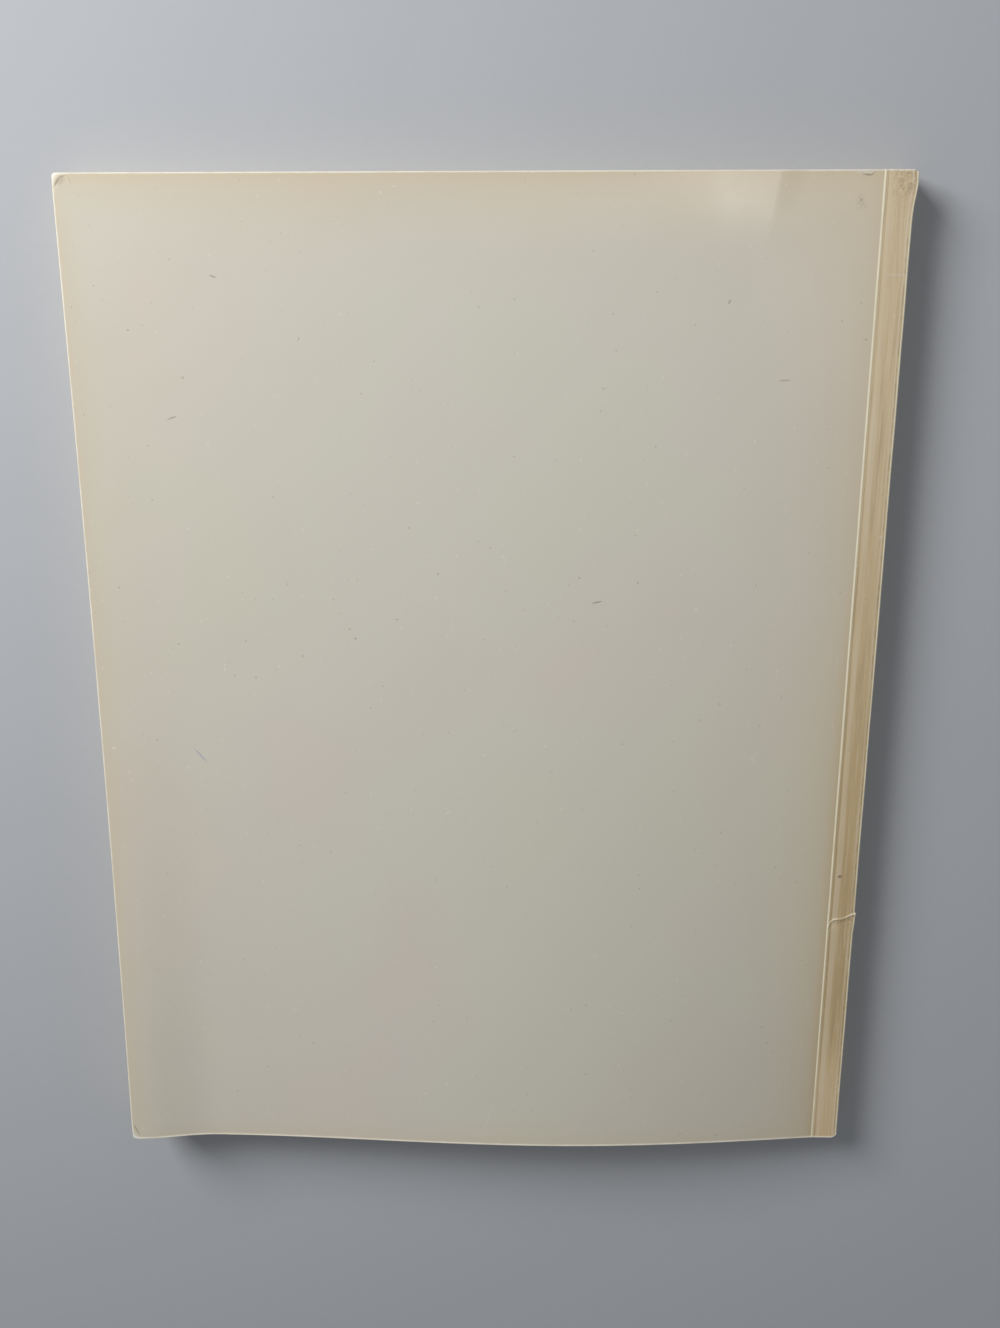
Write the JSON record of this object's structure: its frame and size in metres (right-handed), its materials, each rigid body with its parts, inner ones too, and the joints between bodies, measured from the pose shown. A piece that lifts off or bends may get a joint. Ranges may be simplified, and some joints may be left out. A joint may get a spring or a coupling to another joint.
{
  "type": "paperback book",
  "caption": "Large, thin, perfect-bound paperback book with blank cream card covers that open at scored hinges, aged and curled up along the tail.",
  "frame": {"origin": "bottom centre of the closed book, on the front cover's outer face", "axes": "+X towards the spine, +Y towards the head, +Z out of the back cover"},
  "size_m": [0.216, 0.279, 0.0167],
  "materials": {
    "leaf_paper": "uncoated text paper, toned at the trimmed edges",
    "binding_glue": "aged amber hot glue",
    "cover_card": "semi-gloss cover card, toned and worn"
  },
  "bodies": {
    "text_block": {"page_block": "leaf_paper", "spine_glue": "binding_glue", "cover_spine": "cover_card"},
    "front_cover": {"front_cover": "cover_card"},
    "back_cover": {"back_cover": "cover_card"}
  },
  "joints": [
    {"name": "back_cover_hinge", "type": "hinge", "parent": "text_block", "child": "back_cover", "pos_m": [0.1003, 0, 0.01012], "axis": [0, 1, 0], "range_deg": [0, 170]},
    {"name": "front_cover_hinge", "type": "hinge", "parent": "text_block", "child": "front_cover", "pos_m": [0.1003, 0, 0], "axis": [0, -1, 0], "range_deg": [0, 180]}
  ]
}
